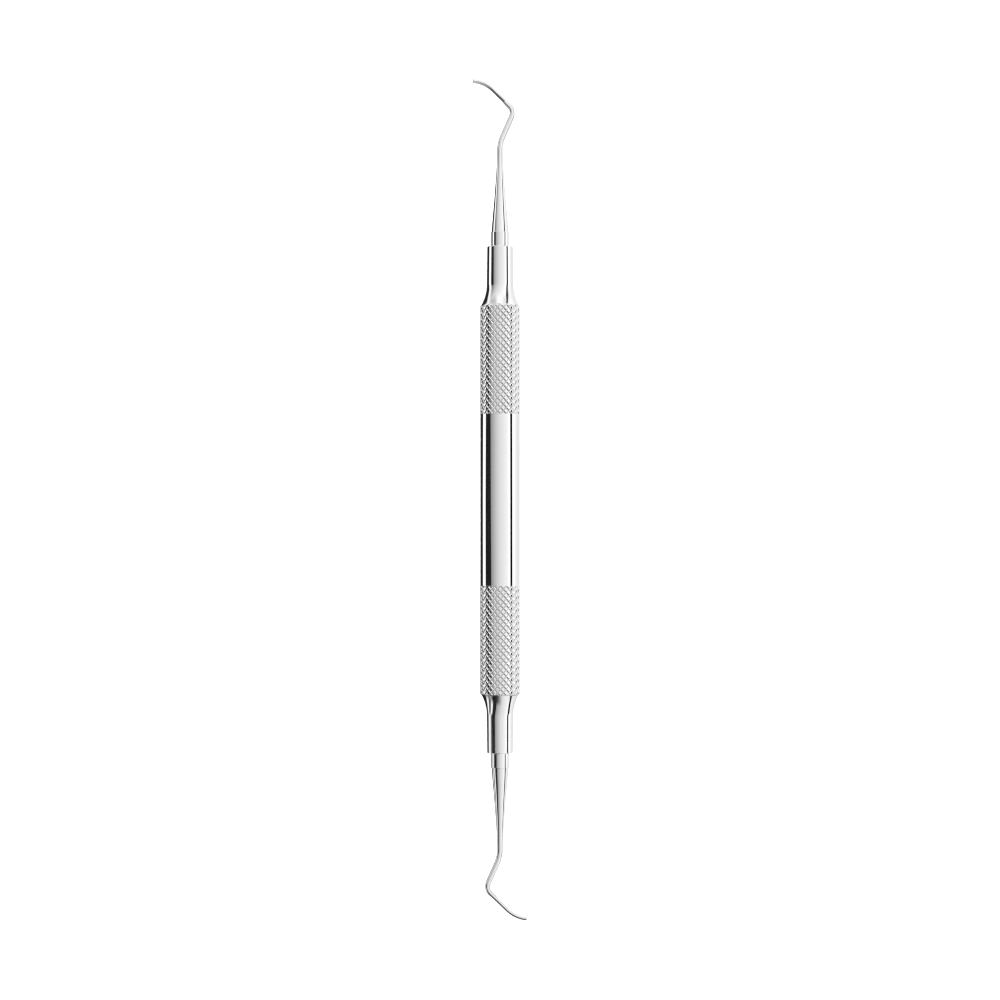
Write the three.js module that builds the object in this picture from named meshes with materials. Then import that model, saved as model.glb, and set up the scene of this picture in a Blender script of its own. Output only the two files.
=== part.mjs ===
// Double-ended hand scaler for dental use: a hollow knurled steel handle with a turned plug in each
// end, and a bent, curette-bladed working end pressed and soldered into each plug.
//
// Millimetres. The handle's axis is Y, with its middle at the origin. +Z is up as the instrument
// lies on a tray, with both working ends bent sideways in the horizontal plane.
// "Upper" is the +Y end and "lower" the -Y end. The two blades are mirror images of each other.

import * as THREE from 'three';

// ---- Driving dimensions ----

const HANDLE_RADIUS = 4.0;
const BORE_RADIUS = 3.0;
const PLAIN_GRIP_LENGTH = 34.7;     // the smooth stretch between the two knurled bands
const GRIP_RELIEF = 0.03;           // the smooth stretch lies this much under the knurl's crests

const KNURLS_ROUND = 20;            // diamonds round the handle
const KNURLS_ALONG = 17;            // diamonds along each band
const KNURL_PITCH = 1.30;           // length of one diamond along the handle
const KNURL_DEPTH = 0.2;
const TUBE_END_RADIUS = 3.7;        // the chamfered edge at each end of the handle tube

const NECK_RADIUS = 2.66;           // the plug where its flare ends
const NECK_END_RADIUS = 2.59;       // the plug at its outer end
const FLARE_RADIUS = 9.0;           // the hollow curve between handle and neck
const PLUG_LENGTH = 11.687;         // the part of the plug that shows
const SPIGOT_LENGTH = 8.0;          // the part of the plug inside the handle tube
const SPIGOT_CLEARANCE = 0.015;
const PLUG_CHAMFER = 0.09;

const TANG_RADIUS = 1.25;
const TANG_LENGTH = 12.0;
const SOCKET_CLEARANCE = 0.02;
const SOCKET_SPARE = 0.6;           // the socket is drilled this much deeper than the tang is long
const ROOT_RADIUS = 1.785;          // the collar of the working end that seats on the plug
const ROOT_LENGTH = 3.03;
const ROOT_CHAMFER = 0.1;
const SOLDER_LEG = 0.12;            // the ring of solder between collar and plug
const SOLDER_CLEARANCE = 0.015;
const GUARD_SEAT_RADIUS = 2.0;      // from here outwards the plug's end face is clear of the solder

// The centre line of a working end, from the collar outwards: straight runs, and bends that turn
// right (+) or left (-) by an angle in degrees.
const CENTRE_LINE = [
  { run: 16.35 },
  { bend: 24, radius: 7.5 },
  { run: 4.13 },
  { bend: -70, radius: 1.95 },
  { run: 4.66 },
  { bend: -40, radius: 6.5 },
];

// Diameter of the shank and blade at distances along the centre line.
const SHANK_DIAMETERS = [
  [0.0, 3.39], [2.3, 3.09], [5.6, 2.49], [8.8, 1.99], [12.0, 1.53], [15.3, 1.27],
  [19.5, 1.17], [24.8, 1.12], [27.6, 0.94], [31.0, 0.93], [35.2, 1.04],
];

const BLADE_LENGTH = 7.95;          // from the heel of the flat face to the toe
const HEEL_LENGTH = 0.25;           // over which the face sinks from the shank's surface
const FACE_HEIGHT = 0.3;            // the face's distance from the centre line, per unit of radius
const FACE_TILT = 28;               // degrees from the inward direction towards up (or down)
const TOE_ROUNDING = 0.2;

// ---- Mesh resolution ----

const TURNED_SIDES = 2 * KNURLS_ROUND;
const FACE_STEPS = 7;               // edges across the flat face
const BACK_STEPS = 15;              // edges round the back of the blade
const BEND_STEP = 7;                // degrees of bend between two sections
const RUN_STEP = 2.4;               // length between two sections
const FLARE_STEPS = 7;
const TOE_STEPS = 3;

// ---- Derived sizes ----

const KNURL_LENGTH = KNURLS_ALONG * KNURL_PITCH;
const TUBE_END = PLAIN_GRIP_LENGTH / 2 + KNURL_LENGTH;
const PLUG_END = TUBE_END + PLUG_LENGTH;
const ROOT_END = PLUG_END + ROOT_LENGTH;
const SOCKET_RADIUS = TANG_RADIUS + SOCKET_CLEARANCE;
const FACE_HALF_ANGLE = Math.acos(FACE_HEIGHT);
const COLUMN_ANGLE = (2 * Math.PI) / TURNED_SIDES;
const FIRST_COLUMN = COLUMN_ANGLE / 2;      // so the lowest line of the handle is a flat, not a ridge
const UP = new THREE.Vector3(0, 0, 1);

// ---- Materials ----

function steel(color, roughness) {
  return new THREE.MeshStandardMaterial({ color, roughness, metalness: 1.0 });
}

const polishedSteel = steel(0xc9cacb, 0.12);
const knurledSteel = steel(0xc2c3c4, 0.2);
const bladeSteel = steel(0xb9babc, 0.16);
const solder = steel(0xb3b1aa, 0.4);

// ---- Skins over rings of points ----

function distanceFromAxis(point) {
  return Math.hypot(point.x, point.z);
}

// The two triangles of one patch, folded along the diagonal that lies deeper in the surface.
function patch(points, a, b, c, d) {
  const acrossAC = distanceFromAxis(points[a]) + distanceFromAxis(points[c]);
  const acrossBD = distanceFromAxis(points[b]) + distanceFromAxis(points[d]);
  if (acrossBD < acrossAC) {
    return [a, b, d, b, c, d];
  }
  return [a, b, c, a, c, d];
}

// A skin over rings that each hold the same number of points. It is capped at both ends, or the
// last ring joins the first when the rings run in a loop.
function skinOverRings(rings, inLoop) {
  const sides = rings[0].length;
  const points = rings.flat();
  const index = [];
  const joins = inLoop ? rings.length : rings.length - 1;
  for (let i = 0; i < joins; i += 1) {
    const here = i * sides;
    const next = ((i + 1) % rings.length) * sides;
    for (let k = 0; k < sides; k += 1) {
      const beside = (k + 1) % sides;
      index.push(...patch(points, here + k, here + beside, next + beside, next + k));
    }
  }
  if (!inLoop) {
    addCap(points, index, 0, sides, true);
    addCap(points, index, (rings.length - 1) * sides, sides, false);
  }
  const geometry = new THREE.BufferGeometry();
  geometry.setAttribute('position', new THREE.Float32BufferAttribute(
    points.flatMap((point) => point.toArray()), 3));
  geometry.setIndex(index);
  geometry.computeVertexNormals();
  return geometry;
}

function addCap(points, index, first, sides, facesBack) {
  const ring = points.slice(first, first + sides);
  const middle = ring.reduce((sum, point) => sum.add(point), new THREE.Vector3());
  const centre = points.push(middle.divideScalar(sides)) - 1;
  for (let k = 0; k < sides; k += 1) {
    const here = first + k;
    const beside = first + (k + 1) % sides;
    index.push(centre, facesBack ? beside : here, facesBack ? here : beside);
  }
}

// ---- Handle tube ----

// A ring round the handle's axis. radiusAt(k) is the radius at the k-th point.
function handleRing(y, radiusAt) {
  const ring = [];
  for (let k = 0; k < TURNED_SIDES; k += 1) {
    const angle = FIRST_COLUMN + k * COLUMN_ANGLE;
    const radius = radiusAt(k);
    ring.push(new THREE.Vector3(radius * Math.sin(angle), y, radius * Math.cos(angle)));
  }
  return ring;
}

// The rings of one knurled band from y = start. Crests and groove crossings alternate along and
// round it, so that each crest stands among four crossings as a four-sided pyramid.
function knurlRings(start, chamferAtStart) {
  const rings = [];
  const rows = 2 * KNURLS_ALONG;
  for (let row = 0; row <= rows; row += 1) {
    const y = start + (row * KNURL_PITCH) / 2;
    const atTubeEnd = row === (chamferAtStart ? 0 : rows);
    rings.push(handleRing(y, (k) => {
      if (atTubeEnd) {
        return TUBE_END_RADIUS;
      }
      return (row + k) % 2 === 0 ? HANDLE_RADIUS : HANDLE_RADIUS - KNURL_DEPTH;
    }));
  }
  return rings;
}

// The smooth grip starts a little way from the last row of crests, so the grooves run out to it.
function plainGripRings() {
  const halfLength = PLAIN_GRIP_LENGTH / 2 - KNURL_PITCH / 8;
  const radius = HANDLE_RADIUS - GRIP_RELIEF;
  return [-halfLength, halfLength].map((y) => handleRing(y, () => radius));
}

function handleTube() {
  const rings = [
    ...knurlRings(-TUBE_END, true),
    ...plainGripRings(),
    ...knurlRings(PLAIN_GRIP_LENGTH / 2, false),
    handleRing(TUBE_END, () => BORE_RADIUS),
    handleRing(-TUBE_END, () => BORE_RADIUS),
  ];
  return skinOverRings(rings, true);
}

// ---- End plugs ----

// The hollow flare, from the handle down to the neck, as an arc that ends along the axis.
function flarePoints() {
  const drop = TUBE_END_RADIUS - NECK_RADIUS;
  const fullAngle = Math.acos(1 - drop / FLARE_RADIUS);
  const neckStart = TUBE_END + FLARE_RADIUS * Math.sin(fullAngle);
  const points = [];
  for (let step = 0; step <= FLARE_STEPS; step += 1) {
    const angle = fullAngle * (1 - step / FLARE_STEPS);
    points.push(new THREE.Vector2(
      NECK_RADIUS + FLARE_RADIUS * (1 - Math.cos(angle)),
      neckStart - FLARE_RADIUS * Math.sin(angle)));
  }
  return points;
}

// One turned piece: a spigot inside the handle tube, the flare and neck outside it, and a blind
// socket for the tang.
function endPlug() {
  const spigotRadius = BORE_RADIUS - SPIGOT_CLEARANCE;
  const spigotEnd = TUBE_END - SPIGOT_LENGTH;
  const socketEnd = PLUG_END - TANG_LENGTH - SOCKET_SPARE;
  const profile = [
    new THREE.Vector2(0, spigotEnd),
    new THREE.Vector2(spigotRadius - PLUG_CHAMFER, spigotEnd),
    new THREE.Vector2(spigotRadius, spigotEnd + PLUG_CHAMFER),
    new THREE.Vector2(spigotRadius, TUBE_END),
    ...flarePoints(),
    new THREE.Vector2(NECK_END_RADIUS, PLUG_END - PLUG_CHAMFER),
    new THREE.Vector2(NECK_END_RADIUS - PLUG_CHAMFER, PLUG_END),
    new THREE.Vector2(GUARD_SEAT_RADIUS, PLUG_END),
    new THREE.Vector2(SOCKET_RADIUS, PLUG_END),
    new THREE.Vector2(SOCKET_RADIUS, socketEnd),
    new THREE.Vector2(0, socketEnd - SOCKET_RADIUS / 2),
  ];
  return new THREE.LatheGeometry(profile, TURNED_SIDES, FIRST_COLUMN);
}

// A small fillet of solder in the corner between the plug's end face and the collar.
function solderRing() {
  const inner = ROOT_RADIUS + SOLDER_CLEARANCE;
  const base = PLUG_END + SOLDER_CLEARANCE;
  const profile = [
    new THREE.Vector2(inner, base),
    new THREE.Vector2(inner + SOLDER_LEG, base),
    new THREE.Vector2(inner, base + SOLDER_LEG),
    new THREE.Vector2(inner, base),
  ];
  return new THREE.LatheGeometry(profile, TURNED_SIDES, FIRST_COLUMN);
}

// ---- Working ends ----

function segmentLength(segment) {
  return segment.run ?? Math.abs(THREE.MathUtils.degToRad(segment.bend)) * segment.radius;
}

const SHANK_LENGTH = CENTRE_LINE.reduce((sum, segment) => sum + segmentLength(segment), 0);
const HEEL = SHANK_LENGTH - BLADE_LENGTH;

// Where the centre line is at a distance from the collar, and its heading from +Y towards +X.
function placeAt(distance) {
  const place = { x: 0, y: ROOT_END, heading: 0 };
  let left = distance;
  for (const segment of CENTRE_LINE) {
    const length = Math.min(left, segmentLength(segment));
    if (segment.run) {
      place.x += length * Math.sin(place.heading);
      place.y += length * Math.cos(place.heading);
    } else {
      const side = Math.sign(segment.bend);
      const after = place.heading + (side * length) / segment.radius;
      place.x += side * segment.radius * (Math.cos(place.heading) - Math.cos(after));
      place.y += side * segment.radius * (Math.sin(after) - Math.sin(place.heading));
      place.heading = after;
    }
    left -= length;
  }
  return place;
}

// The shank's radius: a smooth curve through the listed diameters.
function shankRadius(distance) {
  const last = SHANK_DIAMETERS.length - 1;
  let i = 0;
  while (i < last - 1 && distance > SHANK_DIAMETERS[i + 1][0]) {
    i += 1;
  }
  const [from, startDiameter] = SHANK_DIAMETERS[i];
  const [to, endDiameter] = SHANK_DIAMETERS[i + 1];
  const part = (distance - from) / (to - from);
  const slope = (j) => {
    const [a, b] = [Math.max(j - 1, 0), Math.min(j + 1, last)];
    return (SHANK_DIAMETERS[b][1] - SHANK_DIAMETERS[a][1])
      / (SHANK_DIAMETERS[b][0] - SHANK_DIAMETERS[a][0]);
  };
  const [startPull, endPull] = [slope(i) * (to - from), slope(i + 1) * (to - from)];
  const diameter = startDiameter * (2 * part ** 3 - 3 * part ** 2 + 1)
    + startPull * (part ** 3 - 2 * part ** 2 + part)
    + endDiameter * (3 * part ** 2 - 2 * part ** 3)
    + endPull * (part ** 3 - part ** 2);
  return diameter / 2;
}

// The distances along the centre line at which the shank and blade get a section.
function sectionDistances() {
  const distances = [HEEL, HEEL + HEEL_LENGTH];
  let start = 0;
  for (const segment of CENTRE_LINE) {
    const length = segmentLength(segment);
    const pieces = segment.run ? length / RUN_STEP : Math.abs(segment.bend) / BEND_STEP;
    const count = Math.ceil(pieces);
    for (let k = 0; k < count; k += 1) {
      distances.push(start + (length * k) / count);
    }
    start += length;
  }
  const toeStart = SHANK_LENGTH - TOE_ROUNDING;
  return distances.filter((distance) => distance < toeStart).sort((a, b) => a - b);
}

// One section of the working end. Angles run from the inward direction, the side that the blade
// curves towards, to up. Points beyond the flat face are brought back to it.
function section(distance, scale, faceSide) {
  const place = placeAt(distance);
  const radius = shankRadius(distance) * scale;
  const sunk = THREE.MathUtils.clamp((distance - HEEL) / HEEL_LENGTH, 0, 1);
  const faceHeight = radius * THREE.MathUtils.lerp(1, FACE_HEIGHT, sunk);
  return ringAcross(place, radius, faceHeight, faceSide);
}

function ringAcross(place, radius, faceHeight, faceSide) {
  const inward = new THREE.Vector3(-Math.cos(place.heading), Math.sin(place.heading), 0);
  const centre = new THREE.Vector3(place.x, place.y, 0);
  const faceAngle = faceSide * THREE.MathUtils.degToRad(FACE_TILT);
  return sectionAngles(faceAngle).map((angle) => {
    const beyondFace = Math.max(0, radius * Math.cos(angle - faceAngle) - faceHeight);
    const acrossInward = radius * Math.cos(angle) - beyondFace * Math.cos(faceAngle);
    const acrossUp = radius * Math.sin(angle) - beyondFace * Math.sin(faceAngle);
    return centre.clone().addScaledVector(inward, acrossInward).addScaledVector(UP, acrossUp);
  });
}

// Evenly spaced across the face and round the back, with a point on each cutting edge.
function sectionAngles(faceAngle) {
  const angles = [];
  for (let k = 0; k < FACE_STEPS; k += 1) {
    angles.push(faceAngle + FACE_HALF_ANGLE * ((2 * k) / FACE_STEPS - 1));
  }
  for (let k = 0; k < BACK_STEPS; k += 1) {
    angles.push(faceAngle + FACE_HALF_ANGLE + (2 * (Math.PI - FACE_HALF_ANGLE) * k) / BACK_STEPS);
  }
  return angles;
}

// The tang and the collar lie on the handle's axis, before the centre line starts.
function tangAndCollarRings(faceSide) {
  const ring = (y, radius) => ringAcross({ x: 0, y, heading: 0 }, radius, radius, faceSide);
  return [
    ring(PLUG_END - TANG_LENGTH, TANG_RADIUS - ROOT_CHAMFER),
    ring(PLUG_END - TANG_LENGTH + ROOT_CHAMFER, TANG_RADIUS),
    ring(PLUG_END, TANG_RADIUS),
    ring(PLUG_END, ROOT_RADIUS),
    ring(ROOT_END - ROOT_CHAMFER / 2, ROOT_RADIUS),
  ];
}

// The toe is cut square and its edge rounded over.
function toeRings(faceSide) {
  const rings = [];
  for (let step = 0; step <= TOE_STEPS; step += 1) {
    const angle = (Math.PI / 2) * (step / TOE_STEPS);
    const distance = SHANK_LENGTH - TOE_ROUNDING * (1 - Math.sin(angle));
    const scale = 1 - (TOE_ROUNDING * (1 - Math.cos(angle))) / shankRadius(distance);
    rings.push(section(distance, scale, faceSide));
  }
  return rings;
}

// Tang, collar, shank and blade are forged and ground in one piece. faceSide is 1 for a face
// that looks up and -1 for one that looks down.
function workingEnd(faceSide) {
  const rings = [
    ...tangAndCollarRings(faceSide),
    ...sectionDistances().map((distance) => section(distance, 1, faceSide)),
    ...toeRings(faceSide),
  ];
  return skinOverRings(rings, false);
}

// ---- Assembly ----

function addPiece(group, name, geometry, material) {
  const mesh = new THREE.Mesh(geometry, material);
  mesh.name = name;
  group.add(mesh);
}

function instrumentEnd(prefix, faceSide) {
  const end = new THREE.Group();
  addPiece(end, `${prefix}_end_plug`, endPlug(), polishedSteel);
  addPiece(end, `${prefix}_solder_ring`, solderRing(), solder);
  addPiece(end, `${prefix}_working_end`, workingEnd(faceSide), bladeSteel);
  return end;
}

const scaler = new THREE.Group();
addPiece(scaler, 'handle_tube', handleTube(), knurledSteel);
scaler.add(instrumentEnd('upper', 1));

const lowerEnd = instrumentEnd('lower', -1);
lowerEnd.rotation.z = Math.PI;
scaler.add(lowerEnd);

export default scaler;
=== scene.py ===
"""The looks of a double-ended hand scaler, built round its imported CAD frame.

Every piece of the instrument is rebuilt here as a fine mesh on the driving dimensions of the CAD
part: the knurl is cut with real grooves, the turned edges are rounded and the blades are ground.
Only the knurl differs: here it is a little shallower and its diamonds have flat tops.
Sizes are in millimetres and meshes are in metres. The handle's axis is Y, +Z is up.
"""
import math

import bpy
import numpy as np
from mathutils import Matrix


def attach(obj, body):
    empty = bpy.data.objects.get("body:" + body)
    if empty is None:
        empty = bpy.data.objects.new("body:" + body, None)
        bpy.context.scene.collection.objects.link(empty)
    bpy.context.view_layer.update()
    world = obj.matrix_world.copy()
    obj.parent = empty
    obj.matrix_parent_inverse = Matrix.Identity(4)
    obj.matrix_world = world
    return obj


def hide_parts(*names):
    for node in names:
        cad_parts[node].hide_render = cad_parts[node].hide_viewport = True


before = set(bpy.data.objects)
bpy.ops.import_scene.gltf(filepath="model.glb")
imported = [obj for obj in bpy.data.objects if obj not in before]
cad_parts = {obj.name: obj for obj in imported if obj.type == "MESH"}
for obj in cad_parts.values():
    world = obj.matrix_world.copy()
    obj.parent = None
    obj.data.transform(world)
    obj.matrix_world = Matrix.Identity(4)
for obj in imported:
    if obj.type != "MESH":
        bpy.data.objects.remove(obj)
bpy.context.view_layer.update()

MM = 0.001
BODY = "root"

# ---- Driving dimensions, in millimetres ----

HANDLE_RADIUS = 4.0
BORE_RADIUS = 3.0
PLAIN_GRIP_LENGTH = 34.7
GRIP_RELIEF = 0.03          # the plain grip lies this much under the knurl's crests
KNURLS_ROUND = 20
KNURLS_ALONG = 17
KNURL_PITCH = 1.30
KNURL_DEPTH = 0.16
KNURL_WEAR = 0.004          # how far the groove bottoms are rounded, 0 for knife-sharp ones
GROOVE_SHARE = 0.38         # the part of each diamond that the grooves' walls take up
CREST_ROUNDING = 0.12       # how softly the walls turn into the diamonds' flat tops
TUBE_END_RADIUS = 3.7
TUBE_CHAMFER = 0.3

NECK_RADIUS = 2.66
NECK_END_RADIUS = 2.59
FLARE_RADIUS = 9.0
PLUG_LENGTH = 11.687
SPIGOT_LENGTH = 8.0
SPIGOT_CLEARANCE = 0.015
PLUG_CHAMFER = 0.09

TANG_RADIUS = 1.25
TANG_LENGTH = 12.0
SOCKET_CLEARANCE = 0.02
SOCKET_SPARE = 0.6          # the socket is drilled this much deeper than the tang is long
DRILL_TIP_RADIUS = 0.127    # where the socket's conical bottom ends
ROOT_RADIUS = 1.785
ROOT_LENGTH = 3.03
ROOT_CHAMFER = 0.1
SOLDER_LEG = 0.12
SOLDER_CLEARANCE = 0.015

# The centre line of a working end: straight runs, and bends by degrees to the right (+) or left (-).
CENTRE_LINE = (
    ("run", 16.35, 0.0),
    ("bend", 24.0, 7.5),
    ("run", 4.13, 0.0),
    ("bend", -70.0, 1.95),
    ("run", 4.66, 0.0),
    ("bend", -40.0, 6.5),
)

# Diameter of the shank and blade at distances along the centre line.
SHANK_DIAMETERS = (
    (0.0, 3.39), (2.3, 3.09), (5.6, 2.49), (8.8, 1.99), (12.0, 1.53), (15.3, 1.27),
    (19.5, 1.17), (24.8, 1.12), (27.6, 0.94), (31.0, 0.93), (35.2, 1.04),
)

BLADE_LENGTH = 7.95         # from the heel of the flat face to the toe
HEEL_LENGTH = 0.25          # over which the face sinks from the shank's surface
FACE_HEIGHT = 0.3           # the face's distance from the centre line, per unit of radius
FACE_TILT = 28.0            # degrees from the inward direction towards up or down
TOE_ROUNDING = 0.2

# ---- Mesh resolution ----

FOLD_STEPS = 16             # edges from a crest of the knurl to the next groove crossing
UPPER_KNURL_SHIFT = 4       # edges by which the upper band's diamonds start ahead of the lower band's
PLAIN_RINGS = 4             # rings over the plain grip
TURNED_SIDES = 160
ARC_STEPS = 5               # edges over each small rounding
FLARE_STEPS = 28
FACE_STEPS = 20
BACK_STEPS = 52
SHANK_STEP = 0.25           # length between two sections of a shank
COLLAR_ARC = 80             # degrees of the collar's rounding before it meets the shank
SHARP_ANGLE = math.radians(32.0)
GUARD = 0.03                # how close a guard ring lies to the rounding that it keeps apart
LONG_RUN = 1.0              # a run of a profile that is longer gets guard rings

# ---- Derived sizes ----

KNURL_LENGTH = KNURLS_ALONG * KNURL_PITCH
TUBE_END = PLAIN_GRIP_LENGTH / 2 + KNURL_LENGTH
PLUG_END = TUBE_END + PLUG_LENGTH
ROOT_END = PLUG_END + ROOT_LENGTH
SOCKET_RADIUS = TANG_RADIUS + SOCKET_CLEARANCE


# ---- Mesh helpers ----

def skin_faces(rings, in_loop):
    """The quads that join rings of equally many points."""
    count, sides = rings.shape[:2]
    row = np.arange(count if in_loop else count - 1)[:, None]
    column = np.arange(sides)[None, :]
    beside = (column + 1) % sides
    following = (row + 1) % count
    corners = (row * sides + column, row * sides + beside,
               following * sides + beside, following * sides + column)
    return np.stack(corners, axis=-1).reshape(-1, 4)


def end_caps(rings):
    """One flat face over the first ring and one over the last."""
    count, sides = rings.shape[:2]
    first = list(range(sides))[::-1]
    last = list(range((count - 1) * sides, count * sides))
    return [first, last]


def add_piece(name, rings, unbent, faces, materials):
    """A closed piece that stands for the CAD node of the same purpose and rides on the body.

    Unbent is where each point lies, in millimetres, on the piece as it was before it was bent, with
    its length along the third axis. The materials lay their polishing lines by it.
    """
    mesh = bpy.data.meshes.new(name)
    mesh.from_pydata((rings.reshape(-1, 3) * MM).tolist(), [], faces)
    mesh.polygons.foreach_set("use_smooth", [True] * len(mesh.polygons))
    mesh.set_sharp_from_angle(angle=SHARP_ANGLE)
    places = mesh.attributes.new("unbent", "FLOAT_VECTOR", "POINT")
    places.data.foreach_set("vector", unbent.reshape(-1).astype(np.float32))
    for material in materials:
        mesh.materials.append(material)
    piece = bpy.data.objects.new("fine_" + name, mesh)
    bpy.context.scene.collection.objects.link(piece)
    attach(piece, BODY)
    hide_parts(name)
    return piece


def unbent_turned(rings):
    """A turned piece isn't bent, so only its axes change places."""
    return rings[:, :, [0, 2, 1]]


def turned_rings(profile, sides, end_sign):
    """Rings round the Y axis through (radius, y) points. end_sign -1 turns the piece end for end."""
    radius, height = np.array(profile).T
    angle = 2 * math.pi * np.arange(sides) / sides
    rings = np.empty((len(radius), sides, 3))
    rings[:, :, 0] = radius[:, None] * np.sin(angle) * end_sign
    rings[:, :, 1] = height[:, None] * end_sign
    rings[:, :, 2] = radius[:, None] * np.cos(angle)
    return rings


def arc(centre_radius, centre_y, size, start, end, steps):
    """(radius, y) points of an arc, with its angles in degrees from outwards to +Y."""
    points = []
    for step in range(steps + 1):
        angle = math.radians(start + (end - start) * step / steps)
        points.append((centre_radius + size * math.cos(angle), centre_y + size * math.sin(angle)))
    return points


def with_guards(profile):
    """Adds a point near both ends of every long run, so that the shading of a rounding stays on it."""
    guarded = [profile[0]]
    for start, end in zip(profile, profile[1:]):
        length = math.dist(start, end)
        if length > LONG_RUN:
            for part in (GUARD / length, 1 - GUARD / length):
                guarded.append(tuple(a + (b - a) * part for a, b in zip(start, end)))
        guarded.append(end)
    return guarded


# ---- Handle tube ----

def smooth_fold(turns):
    """A zigzag from 0 at whole turns to 1 at half turns, with its corners rounded."""
    return np.arccos((1 - KNURL_WEAR) * np.cos(2 * math.pi * turns)) / math.pi


def knurl_radius(across, along):
    """The radius of the knurl. Both places count half diamonds, from a groove crossing."""
    from_groove = np.minimum(smooth_fold((across + along) / 2), smooth_fold((across - along) / 2))
    up_the_wall = from_groove / GROOVE_SHARE
    rise = (up_the_wall + 1 - np.sqrt((up_the_wall - 1) ** 2 + CREST_ROUNDING**2)) / 2
    return HANDLE_RADIUS - KNURL_DEPTH * (1 - rise)


KNURL_SIDES = 2 * KNURLS_ROUND * FOLD_STEPS
KNURL_STEPS = 2 * KNURLS_ALONG * FOLD_STEPS

def band_radii(heights, shift):
    """Rings of radii for one knurled band, from the plain grip outwards."""
    across = np.arange(KNURL_SIDES) / FOLD_STEPS
    along = (np.arange(KNURL_STEPS + 1) + shift) / FOLD_STEPS
    chamfer = TUBE_END_RADIUS + (TUBE_END - heights) * (HANDLE_RADIUS - TUBE_END_RADIUS) / TUBE_CHAMFER
    return np.minimum(knurl_radius(across[None, :], along[:, None]), chamfer[:, None])


def handle_rings():
    """The outside of the handle from end to end, then the bore back again."""
    inner_end = PLAIN_GRIP_LENGTH / 2
    heights = np.linspace(inner_end, TUBE_END, KNURL_STEPS + 1)
    lower = band_radii(heights, 0)
    upper = band_radii(heights, UPPER_KNURL_SHIFT)
    plain = np.full((PLAIN_RINGS, KNURL_SIDES), HANDLE_RADIUS - GRIP_RELIEF)
    bore = np.full((1, KNURL_SIDES), BORE_RADIUS)
    step_at = inner_end - GRIP_RELIEF
    plain_heights = [-step_at, GUARD - step_at, step_at - GUARD, step_at]
    all_radii = np.concatenate([lower[::-1], plain, upper, bore, bore])
    all_heights = np.concatenate([-heights[::-1], plain_heights, heights, [TUBE_END, -TUBE_END]])
    angle = 2 * math.pi * np.arange(KNURL_SIDES) / KNURL_SIDES
    rings = np.empty(all_radii.shape + (3,))
    rings[:, :, 0] = all_radii * np.sin(angle)
    rings[:, :, 1] = all_heights[:, None]
    rings[:, :, 2] = all_radii * np.cos(angle)
    return rings


def handle_faces(rings):
    """Each quad is split along the diagonal that runs with the nearest groove."""
    faces = skin_faces(rings, True)
    row = np.repeat(np.arange(len(rings)), KNURL_SIDES)
    column = np.tile(np.arange(KNURL_SIDES), len(rings))
    in_lower = row < KNURL_STEPS
    upper_start = KNURL_STEPS + PLAIN_RINGS + 1
    from_crossing = np.where(in_lower, KNURL_STEPS - 1 - row, row - upper_start + UPPER_KNURL_SHIFT)
    rising = (from_crossing // FOLD_STEPS + column // FOLD_STEPS) % 2 == 0
    turn = np.where(in_lower, ~rising, rising)
    return np.where(turn[:, None], faces, np.roll(faces, 1, axis=1)).tolist()


def add_handle(material):
    rings = handle_rings()
    faces = handle_faces(rings)
    return add_piece("handle_tube", rings, unbent_turned(rings), faces, [material])


# ---- End plugs and solder ----

def flare_points():
    drop = TUBE_END_RADIUS - NECK_RADIUS
    full_angle = math.degrees(math.acos(1 - drop / FLARE_RADIUS))
    neck_start = TUBE_END + FLARE_RADIUS * math.sin(math.radians(full_angle))
    return arc(NECK_RADIUS + FLARE_RADIUS, neck_start, FLARE_RADIUS,
               180 + full_angle, 180, FLARE_STEPS)


def plug_profile():
    spigot_radius = BORE_RADIUS - SPIGOT_CLEARANCE
    spigot_end = TUBE_END - SPIGOT_LENGTH
    socket_end = PLUG_END - TANG_LENGTH - SOCKET_SPARE
    return [
        *arc(spigot_radius - PLUG_CHAMFER, spigot_end + PLUG_CHAMFER, PLUG_CHAMFER, -90, 0, ARC_STEPS),
        (spigot_radius, TUBE_END),
        *flare_points(),
        *arc(NECK_END_RADIUS - PLUG_CHAMFER, PLUG_END - PLUG_CHAMFER, PLUG_CHAMFER, 0, 90, ARC_STEPS),
        (SOCKET_RADIUS, PLUG_END),
        (SOCKET_RADIUS, socket_end),
        (DRILL_TIP_RADIUS, socket_end - SOCKET_RADIUS / 2),
    ]


def solder_profile():
    """The solder's outer face is hollow, as it wets the collar and the plug."""
    inner = ROOT_RADIUS + SOLDER_CLEARANCE
    base = PLUG_END + SOLDER_CLEARANCE
    return [(inner, base), *arc(inner + SOLDER_LEG, base + SOLDER_LEG, SOLDER_LEG, 270, 180, ARC_STEPS)]


def add_plug(end, end_sign, material):
    rings = turned_rings(with_guards(plug_profile()), TURNED_SIDES, end_sign)
    faces = skin_faces(rings, False).tolist() + end_caps(rings)
    return add_piece(end + "_end_plug", rings, unbent_turned(rings), faces, [material])


def add_solder(end, end_sign, material):
    rings = turned_rings(solder_profile(), TURNED_SIDES, end_sign)
    faces = skin_faces(rings, True).tolist()
    return add_piece(end + "_solder_ring", rings, unbent_turned(rings), faces, [material])


# ---- Working ends ----

def segment_length(kind, amount, radius):
    return amount if kind == "run" else abs(math.radians(amount)) * radius


SHANK_LENGTH = sum(segment_length(*segment) for segment in CENTRE_LINE)
HEEL = SHANK_LENGTH - BLADE_LENGTH


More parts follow.
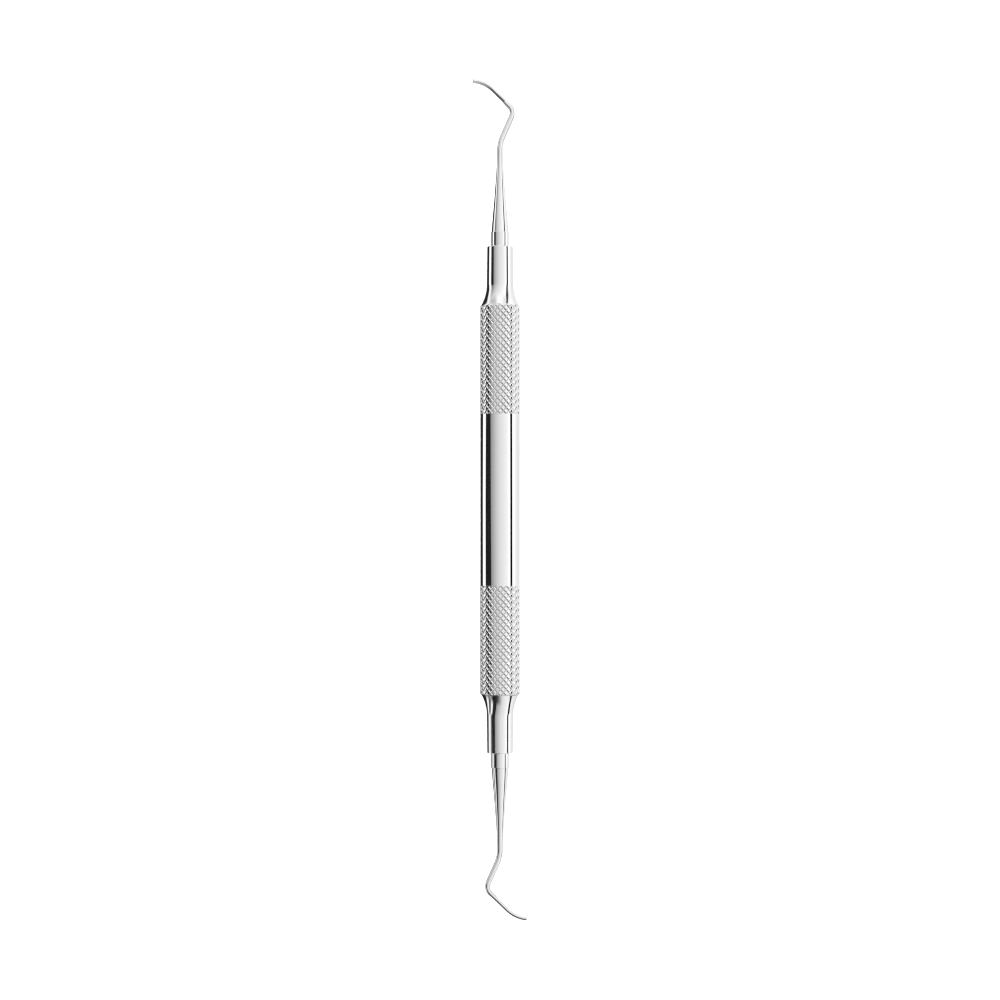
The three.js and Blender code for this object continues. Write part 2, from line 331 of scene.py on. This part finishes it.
def place_at(distance):
    """Where the centre line is at a distance from the collar, and its heading from +Y to +X."""
    x, y, heading = 0.0, ROOT_END, 0.0
    left = distance
    for kind, amount, radius in CENTRE_LINE:
        length = min(left, segment_length(kind, amount, radius))
        if kind == "run":
            x += length * math.sin(heading)
            y += length * math.cos(heading)
        else:
            side = math.copysign(1, amount)
            after = heading + side * length / radius
            x += side * radius * (math.cos(heading) - math.cos(after))
            y += side * radius * (math.sin(after) - math.sin(heading))
            heading = after
        left -= length
    return x, y, heading


def shank_radius(distance):
    """A smooth curve through the listed diameters."""
    last = len(SHANK_DIAMETERS) - 1
    i = 0
    while i < last - 1 and distance > SHANK_DIAMETERS[i + 1][0]:
        i += 1

    def slope(j):
        before, after = SHANK_DIAMETERS[max(j - 1, 0)], SHANK_DIAMETERS[min(j + 1, last)]
        return (after[1] - before[1]) / (after[0] - before[0])

    (start, start_diameter), (end, end_diameter) = SHANK_DIAMETERS[i], SHANK_DIAMETERS[i + 1]
    span = end - start
    part = (distance - start) / span
    diameter = (start_diameter * (2 * part**3 - 3 * part**2 + 1)
                + slope(i) * span * (part**3 - 2 * part**2 + part)
                + end_diameter * (3 * part**2 - 2 * part**3)
                + slope(i + 1) * span * (part**3 - part**2))
    return diameter / 2


def section_angles(face_angle):
    half = math.acos(FACE_HEIGHT)
    across_face = face_angle - half + 2 * half * np.arange(FACE_STEPS) / FACE_STEPS
    round_back = face_angle + half + 2 * (math.pi - half) * np.arange(BACK_STEPS) / BACK_STEPS
    return np.concatenate([across_face, round_back])


def straight_ring(distance, radius, face_height, face_side):
    """A round section with the part beyond the flat face cut away: (inward, upward, distance)."""
    face_angle = face_side * math.radians(FACE_TILT)
    angle = section_angles(face_angle)
    beyond = np.maximum(0.0, radius * np.cos(angle - face_angle) - face_height)
    inward = radius * np.cos(angle) - beyond * math.cos(face_angle)
    upward = radius * np.sin(angle) - beyond * math.sin(face_angle)
    return np.stack([inward, upward, np.full_like(angle, distance)], axis=-1)


def section(distance, scale, face_side):
    radius = shank_radius(distance) * scale
    sunk = min(max((distance - HEEL) / HEEL_LENGTH, 0.0), 1.0)
    face_height = radius * (1 + (FACE_HEIGHT - 1) * sunk)
    return straight_ring(distance, radius, face_height, face_side)


def collar_rings(face_side):
    """The tang and the collar, which lie before the centre line starts."""
    profile = [
        *arc(TANG_RADIUS - ROOT_CHAMFER, PLUG_END - TANG_LENGTH + ROOT_CHAMFER, ROOT_CHAMFER,
             -90, 0, ARC_STEPS),
        (TANG_RADIUS, PLUG_END),
        (ROOT_RADIUS, PLUG_END),
        *arc(ROOT_RADIUS - ROOT_CHAMFER, ROOT_END - ROOT_CHAMFER, ROOT_CHAMFER,
             0, COLLAR_ARC, ARC_STEPS),
    ]
    return [straight_ring(y - ROOT_END, radius, radius, face_side) for radius, y in with_guards(profile)]


def shank_rings(face_side):
    toe_start = SHANK_LENGTH - TOE_ROUNDING
    distances = list(np.arange(0.0, toe_start, SHANK_STEP)) + [HEEL, HEEL + HEEL_LENGTH]
    return [section(distance, 1.0, face_side) for distance in sorted(distances)]


def toe_rings(face_side):
    rings = []
    for step in range(ARC_STEPS + 1):
        angle = math.pi / 2 * step / ARC_STEPS
        distance = SHANK_LENGTH - TOE_ROUNDING * (1 - math.sin(angle))
        scale = 1 - TOE_ROUNDING * (1 - math.cos(angle)) / shank_radius(distance)
        rings.append(section(distance, scale, face_side))
    return rings


def bend(straight):
    """Lays straight rings along the centre line."""
    rings = np.empty_like(straight)
    for ring, source in zip(rings, straight):
        x, y, heading = place_at(source[0, 2])
        ring[:, 0] = x - source[:, 0] * math.cos(heading)
        ring[:, 1] = y + source[:, 0] * math.sin(heading)
        ring[:, 2] = source[:, 1]
    return rings


def mark_blade_face(piece, straight):
    """The flat face between the cutting edges takes the piece's second material."""
    ring_distance = straight[:-1, 0, 2]
    on_blade = np.repeat(ring_distance >= HEEL, straight.shape[1])
    across_face = np.tile(np.arange(straight.shape[1]) < FACE_STEPS, len(ring_distance))
    index = np.zeros(len(piece.data.polygons), dtype=np.int32)
    index[:len(on_blade)] = on_blade & across_face
    piece.data.polygons.foreach_set("material_index", index)


def add_working_end(end, end_sign, materials):
    """The lower end is the upper one turned end for end in the plane, with its face looking down."""
    face_side = end_sign
    straight = np.array(collar_rings(face_side) + shank_rings(face_side) + toe_rings(face_side))
    rings = bend(straight) * np.array([end_sign, end_sign, 1.0])
    faces = skin_faces(rings, False).tolist() + end_caps(rings)
    piece = add_piece(end + "_working_end", rings, straight, faces, materials)
    mark_blade_face(piece, straight)
    return piece


# ---- Materials ----

STEEL = (0.64, 0.64, 0.645)
SOLDER = (0.62, 0.61, 0.58)
# The colour of a painted shade in the bottom of the knurl's grooves.
GROOVE_SHADE_COLOR = (0.16, 0.155, 0.15)
GROOVE_SHADE_SHARE = (0.1, 0.5)    # least and most of the painted shade in a groove's bottom
GROOVE_SHADE_DULLING = 0.22        # roughness that the full painted groove shade adds
SCRATCH_DULLING = 0.06      # roughness that a scratch adds
SCRATCH_LEANS = (24.0, -37.0)           # degrees from the length of a piece
SCRATCH_PLACES = (3.0, 11.0)            # where each set is cut from the noise

# Features per millimetre round and along a piece.
ROUND_THE_PIECE = (0.15, 0.15, 16.0)    # lines from a lathe
ALONG_THE_PIECE = (14.0, 14.0, 0.25)    # lines from a wheel run along a shank
SMUDGES = (0.35, 0.35, 0.22)
WAVES = (0.9, 0.9, 0.45)
STREAKS = (9.0, 9.0, 0.35)
# Patches of the painted shade in the knurl's grooves.
GROOVE_SHADE_PATCHES = (0.5, 0.5, 0.5)
CAST_GRAINS = (12.0, 12.0, 12.0)


def add_node(tree, kind, inputs=(), **settings):
    """A new node with its settings, and its inputs as values or as the sockets that feed them."""
    node = tree.nodes.new("ShaderNode" + kind)
    for name, value in settings.items():
        setattr(node, name, value)
    for name, value in dict(inputs).items():
        if isinstance(value, bpy.types.NodeSocket):
            tree.links.new(value, node.inputs[name])
        else:
            node.inputs[name].default_value = value
    return node


def calculate(tree, operation, first, second=0.0):
    return add_node(tree, "Math", {0: first, 1: second}, operation=operation).outputs[0]


def remap(tree, value, source, target):
    """Carries a value from one range to another, and holds it there."""
    inputs = {"Value": value, "From Min": source[0], "From Max": source[1],
              "To Min": target[0], "To Max": target[1]}
    return add_node(tree, "MapRange", inputs).outputs["Result"]


def new_metal(name, color):
    """A metal material and the place of its points on the unbent piece."""
    material = bpy.data.materials.new(name)
    material.use_nodes = True
    tree = material.node_tree
    shader = tree.nodes["Principled BSDF"]
    shader.inputs["Base Color"].default_value = (*color, 1.0)
    shader.inputs["Metallic"].default_value = 1.0
    place = add_node(tree, "Attribute", attribute_name="unbent").outputs["Vector"]
    return material, tree, shader, place


def noise(tree, place, scales, detail=2.0):
    """Noise with its own number of features per millimetre along each axis of the unbent piece."""
    scaled = add_node(tree, "Mapping", {"Vector": place, "Scale": scales}).outputs["Vector"]
    inputs = {"Vector": scaled, "Scale": 1.0, "Detail": detail}
    return add_node(tree, "TexNoise", inputs).outputs["Fac"]


def scratches(tree, place, lean, seed):
    """Thin scratches that lean by some degrees from the length of the piece, as a 0 to 1 mask."""
    turned = add_node(tree, "Mapping", {
        "Vector": place,
        "Location": (seed, seed, seed),
        "Rotation": (math.radians(lean), math.radians(lean), 0.0),
    }).outputs["Vector"]
    streaks = noise(tree, turned, STREAKS, detail=1.0)
    return remap(tree, streaks, source=(0.70, 0.74), target=(0.0, 1.0))


def bump(tree, height, depth, normal=None):
    """A relief that is depth millimetres high."""
    inputs = {"Height": height, "Strength": 1.0, "Distance": depth * MM}
    if normal is not None:
        inputs["Normal"] = normal
    return add_node(tree, "Bump", inputs).outputs["Normal"]


def polish(tree, shader, place, roughness, lines, line_depth, wave_depth):
    """Wipe marks, scratches, fine lines and slight waves, as a buffing wheel and use leave them.

    Roughness is the range from clean to smudged, and the depths are in millimetres.
    """
    smudges = noise(tree, place, SMUDGES, detail=3.0)
    sets = [scratches(tree, place, lean, seed) for lean, seed in zip(SCRATCH_LEANS, SCRATCH_PLACES)]
    marks = calculate(tree, "MAXIMUM", *sets)
    worn = remap(tree, smudges, source=(0.35, 0.7), target=roughness)
    scuffed = calculate(tree, "MULTIPLY", marks, SCRATCH_DULLING)
    shader_roughness = calculate(tree, "ADD", worn, scuffed)
    waves = bump(tree, noise(tree, place, WAVES, detail=1.0), wave_depth)
    lined = bump(tree, noise(tree, place, lines), line_depth, waves)
    scratched = bump(tree, calculate(tree, "SUBTRACT", 1.0, marks), line_depth, lined)
    tree.links.new(shader_roughness, shader.inputs["Roughness"])
    tree.links.new(scratched, shader.inputs["Normal"])
    return shader_roughness


def polished_steel():
    material, tree, shader, place = new_metal("polished steel", STEEL)
    polish(tree, shader, place, roughness=(0.05, 0.10), lines=ROUND_THE_PIECE,
           line_depth=0.0001, wave_depth=0.002)
    return material


def knurled_steel():
    """Polished steel with a painted shade, darker in patches along the bottom third of the grooves, where
    it also adds roughness.
    """
    material, tree, shader, place = new_metal("knurled steel", STEEL)
    clean = polish(tree, shader, place, roughness=(0.03, 0.06), lines=ROUND_THE_PIECE,
                   line_depth=0.0001, wave_depth=0.0005)
    split = add_node(tree, "SeparateXYZ", {"Vector": place})
    squares = [calculate(tree, "MULTIPLY", split.outputs[axis], split.outputs[axis]) for axis in "XY"]
    from_axis = calculate(tree, "SQRT", calculate(tree, "ADD", *squares))
    bottom = HANDLE_RADIUS - KNURL_DEPTH
    in_groove = remap(tree, from_axis, (bottom, bottom + KNURL_DEPTH / 3), (1.0, 0.0))
    patches = noise(tree, place, GROOVE_SHADE_PATCHES, detail=3.0)
    patchy = remap(tree, patches, source=(0.3, 0.65), target=GROOVE_SHADE_SHARE)
    # A painted shade: darker in patches towards the groove bottoms, and rougher there too.
    groove_shade = calculate(tree, "MULTIPLY", in_groove, patchy)
    # A Mix node's colours are its inputs 6 and 7 and its output 2.
    colors = {"Factor": groove_shade, 6: (*STEEL, 1.0), 7: (*GROOVE_SHADE_COLOR, 1.0)}
    color = add_node(tree, "Mix", colors, data_type="RGBA").outputs[2]
    tree.links.new(color, shader.inputs["Base Color"])
    dulled = calculate(tree, "ADD", clean, calculate(tree, "MULTIPLY", groove_shade, GROOVE_SHADE_DULLING))
    tree.links.new(dulled, shader.inputs["Roughness"])
    return material


def shank_steel():
    material, tree, shader, place = new_metal("shank steel", STEEL)
    polish(tree, shader, place, roughness=(0.06, 0.11), lines=ALONG_THE_PIECE,
           line_depth=0.00015, wave_depth=0.0015)
    return material


def ground_steel():
    """The blade's flat face, with the lines of the stone that it was ground on."""
    material, tree, shader, place = new_metal("ground steel", STEEL)
    polish(tree, shader, place, roughness=(0.16, 0.24), lines=ALONG_THE_PIECE,
           line_depth=0.001, wave_depth=0.001)
    return material


def silver_solder():
    """Cast and slightly grainy, as it froze."""
    material, tree, shader, place = new_metal("silver solder", SOLDER)
    grains = noise(tree, place, CAST_GRAINS, detail=3.0)
    roughness = remap(tree, grains, source=(0.3, 0.7), target=(0.18, 0.34))
    tree.links.new(roughness, shader.inputs["Roughness"])
    tree.links.new(bump(tree, grains, depth=0.004), shader.inputs["Normal"])
    return material


# ---- Camera ----

CAMERA_PLACE = (-0.00002, -0.00005, 0.5895)     # metres, straight above the instrument
LENS = 105.0                                    # millimetres, as is the sensor's width
SENSOR_WIDTH = 36.0
LENS_SOFTNESS = 1.2         # pixels: crisp, for lines one pixel wide

camera_data = bpy.data.cameras.new("camera")
camera_data.lens = LENS
camera_data.sensor_width = SENSOR_WIDTH
camera_data.clip_start = 0.01
camera_data.clip_end = 20.0
camera = bpy.data.objects.new("camera", camera_data)
camera.location = CAMERA_PLACE
bpy.context.scene.collection.objects.link(camera)
bpy.context.scene.camera = camera
bpy.context.scene.view_settings.view_transform = "Standard"
bpy.context.scene.cycles.filter_width = LENS_SOFTNESS

# ---- Assembly ----

add_handle(knurled_steel())
plug_metal, shank_metal, face_metal, solder_metal = (
    polished_steel(), shank_steel(), ground_steel(), silver_solder())
for end_name, sign in (("upper", 1), ("lower", -1)):
    add_plug(end_name, sign, plug_metal)
    add_solder(end_name, sign, solder_metal)
    add_working_end(end_name, sign, [shank_metal, face_metal])

# ---- Floor ----

FLOOR_HALF_SIDE = 2.0       # metres
FLOOR_COLOR = (0.9, 0.9, 0.9, 1.0)
FLOOR_ROUGHNESS = 0.9


def make_floor():
    """A matt floor that the handle's crests rest on. The steel doesn't mirror it."""
    mesh = bpy.data.meshes.new("floor")
    half = FLOOR_HALF_SIDE
    height = -HANDLE_RADIUS * MM
    corners = [(-half, -half, height), (half, -half, height), (half, half, height), (-half, half, height)]
    mesh.from_pydata(corners, [], [(0, 1, 2, 3)])
    material = bpy.data.materials.new("pale floor")
    material.use_nodes = True
    shader = material.node_tree.nodes["Principled BSDF"]
    shader.inputs["Base Color"].default_value = FLOOR_COLOR
    shader.inputs["Roughness"].default_value = FLOOR_ROUGHNESS
    shader.inputs["Specular IOR Level"].default_value = 0.0
    mesh.materials.append(material)
    floor = bpy.data.objects.new("floor", mesh)
    bpy.context.scene.collection.objects.link(floor)
    floor.visible_glossy = False


make_floor()

# ---- Studio light ----

FLOOR_LIGHT = 2.2           # strength of the even white light on everything but polished metal

# The studio as the steel mirrors it: a white tent with a black opening on the left, a thin dark slit
# on the right, and dark again low on the left, a painted shadow that stands in for the instrument's own
# shadow on the floor, which the steel doesn't mirror. Each list is the brightness by the angle from
# straight up, clockwise as seen from -Y, in degrees. The first list holds straight across the
# instrument, the next two hold for directions that lean towards one of its ends, and the last two for
# steep leans.
TENT_ACROSS = (
    (-180, 0.05), (-124, 0.02), (-121, 1.6), (-97, 1.6), (-94, 0.02), (-58, 0.02), (-55, 0.42),
    (-45, 0.56), (-30, 0.78), (-15, 0.97), (0, 1.14), (20, 1.26), (40, 1.4), (50, 1.53), (57, 1.65),
    (62, 1.65), (63, 0.0), (76, 0.0), (77, 1.65), (95, 1.6), (104, 1.4), (125, 1.2), (180, 1.0),
)
TENT_UPPER = (
    (-180, 0.02), (-120, 0.02), (-112, 1.5), (-100, 1.5), (-94, 1.1), (-60, 1.1), (0, 1.38),
    (40, 1.6), (58, 1.65), (60, 0.0), (80, 0.0), (82, 1.0), (96, 1.5), (120, 1.4), (180, 1.1),
)
TENT_LOWER = (
    (-180, 0.02), (-146, 0.02), (-137, 1.5), (-127, 1.5), (-121, 0.1), (-109, 0.1), (-103, 1.2),
    (-98, 1.5), (-90, 1.4), (-85, 0.05), (-58, 0.0), (-55, 0.42), (-45, 0.56), (-30, 0.78),
    (-15, 0.97), (0, 1.14), (20, 1.26), (40, 1.4), (59, 1.65), (61, 0.0), (79, 0.0), (81, 1.5),
    (95, 1.3), (115, 1.2), (130, 1.0), (180, 0.8),
)
TENT_FAR_UPPER = (
    (-180, 1.5), (-96, 1.4), (-78, 0.8), (-54, 0.8), (-36, 1.0), (-22, 1.55), (18, 1.5), (38, 1.2),
    (53, 1.3), (55, 0.0), (66, 0.0), (69, 1.4), (84, 1.6), (180, 1.6),
)
TENT_FAR_LOWER = (
    (-180, 0.9), (-150, 0.7), (-132, 0.45), (-112, 0.05), (-96, 0.05), (-84, 0.6), (-72, 0.3), (-62, 0.0),
    (-24, 0.05), (0, 0.5), (18, 1.05), (45, 1.3), (82, 1.35), (85, 0.05), (99, 0.05), (103, 1.1),
    (150, 0.8), (180, 0.7),
)
BRIGHTEST = 2.0             # above every value in the lists

# How much each list counts, by the lean of a direction towards +Y.
UPPER_SHARE = ((-1.0, 0.0), (0.12, 0.0), (0.17, 0.25), (0.3, 0.4), (0.6, 1.0), (1.0, 1.0))
LOWER_SHARE = ((-1.0, 1.0), (-0.2, 1.0), (-0.11, 0.25), (-0.05, 0.0), (1.0, 0.0))
FAR_UPPER_SHARE = ((-1.0, 0.0), (0.5, 0.0), (0.7, 1.0), (1.0, 1.0))
FAR_LOWER_SHARE = ((-1.0, 1.0), (-0.7, 1.0), (-0.5, 0.0), (1.0, 0.0))

# The tent's edges run aslant: degrees by which they turn clockwise, by the lean towards +Y.
LEFT_SLANT = ((-1.0, 0), (-0.1, 4), (0.0, 0), (0.1, 10), (0.25, 15), (0.45, 8), (0.7, 3), (1.0, 0))
OPENING_SLANT = ((-1.0, 30), (-0.8, 30), (-0.4, 21), (-0.1, 11), (0.0, 0), (0.1, -5), (1.0, -8))
SLIT_SLANT = ((-1.0, 24), (-0.8, 24), (-0.2, 10), (-0.1, 1), (0.0, 0), (0.2, -6), (1.0, -12))
INSIDE_OPENING = (-66, -58)     # the angles over which the opening's own slant takes over
BETWEEN_EDGES = (-50, 70)       # from the opening's right edge to the slit
SLANT_SPAN = 40                 # degrees, more than the largest slant
LEANS = (-1.0, 1.0)
ALL_ROUND = (-180.0, 180.0)


def lookup(tree, value, points, source, target):
    """Reads a result off straight lines through (value, result) points.

    All values lie in the source range, and all results in the target range.
    """
    share = remap(tree, value, source, (0.0, 1.0))
    ramp = add_node(tree, "ValToRGB", {"Fac": share})
    stops = ramp.color_ramp.elements
    while len(stops) > 1:
        stops.remove(stops[-1])
    for number, (place, result) in enumerate(points):
        position = (place - source[0]) / (source[1] - source[0])
        stop = stops[0] if number == 0 else stops.new(position)
        stop.position = position
        level = (result - target[0]) / (target[1] - target[0])
        stop.color = (level, level, level, 1.0)
    return remap(tree, ramp.outputs["Color"], (0.0, 1.0), target)


def blend(tree, share, first, second):
    """The first value where the share is 0, the second where it is 1."""
    mix = add_node(tree, "Mix", {"Factor": share, "A": first, "B": second})
    return mix.outputs["Result"]


def tent_brightness(tree):
    """The tent's brightness, by a direction's angle round the instrument and its lean along it."""
    direction = add_node(tree, "TexCoord").outputs["Generated"]
    split = add_node(tree, "SeparateXYZ", {"Vector": direction})
    lean = split.outputs["Y"]
    angle = calculate(tree, "DEGREES", calculate(tree, "ARCTAN2", split.outputs["X"], split.outputs["Z"]))
    left, opening, slit = (lookup(tree, lean, slants, LEANS, (-SLANT_SPAN, SLANT_SPAN))
                           for slants in (LEFT_SLANT, OPENING_SLANT, SLIT_SLANT))
    towards_slit = remap(tree, angle, BETWEEN_EDGES, (0.0, 1.0))
    right_slant = blend(tree, towards_slit, opening, slit)
    turned_whole = calculate(tree, "SUBTRACT", angle, right_slant)
    out_of_left = remap(tree, angle, INSIDE_OPENING, (0.0, 1.0))
    turned = calculate(tree, "SUBTRACT", angle, blend(tree, out_of_left, left, right_slant))
    brightness = lookup(tree, turned, TENT_ACROSS, ALL_ROUND, (0.0, BRIGHTEST))
    for levels, shares, place in (      # each layer covers the ones before it by its share
        (TENT_UPPER, UPPER_SHARE, turned),
        (TENT_LOWER, LOWER_SHARE, turned_whole),
        (TENT_FAR_UPPER, FAR_UPPER_SHARE, angle),
        (TENT_FAR_LOWER, FAR_LOWER_SHARE, angle),
    ):
        share = lookup(tree, lean, shares, LEANS, (0.0, 1.0))
        layer = lookup(tree, place, levels, ALL_ROUND, (0.0, BRIGHTEST))
        brightness = blend(tree, share, brightness, layer)
    return brightness


def make_studio():
    """Polished metal mirrors the tent, and everything else is lit by an even white."""
    world = bpy.data.worlds.new("studio")
    bpy.context.scene.world = world
    world.use_nodes = True
    tree = world.node_tree
    tree.nodes.clear()
    white = (1.0, 1.0, 1.0, 1.0)
    mirrored = add_node(tree, "Background", {"Color": white, "Strength": tent_brightness(tree)})
    even = add_node(tree, "Background", {"Color": white, "Strength": FLOOR_LIGHT})
    path = add_node(tree, "LightPath")
    mix = add_node(tree, "MixShader", {0: path.outputs["Is Glossy Ray"]})
    tree.links.new(even.outputs[0], mix.inputs[1])
    tree.links.new(mirrored.outputs[0], mix.inputs[2])
    output = add_node(tree, "OutputWorld")
    tree.links.new(mix.outputs[0], output.inputs["Surface"])


make_studio()
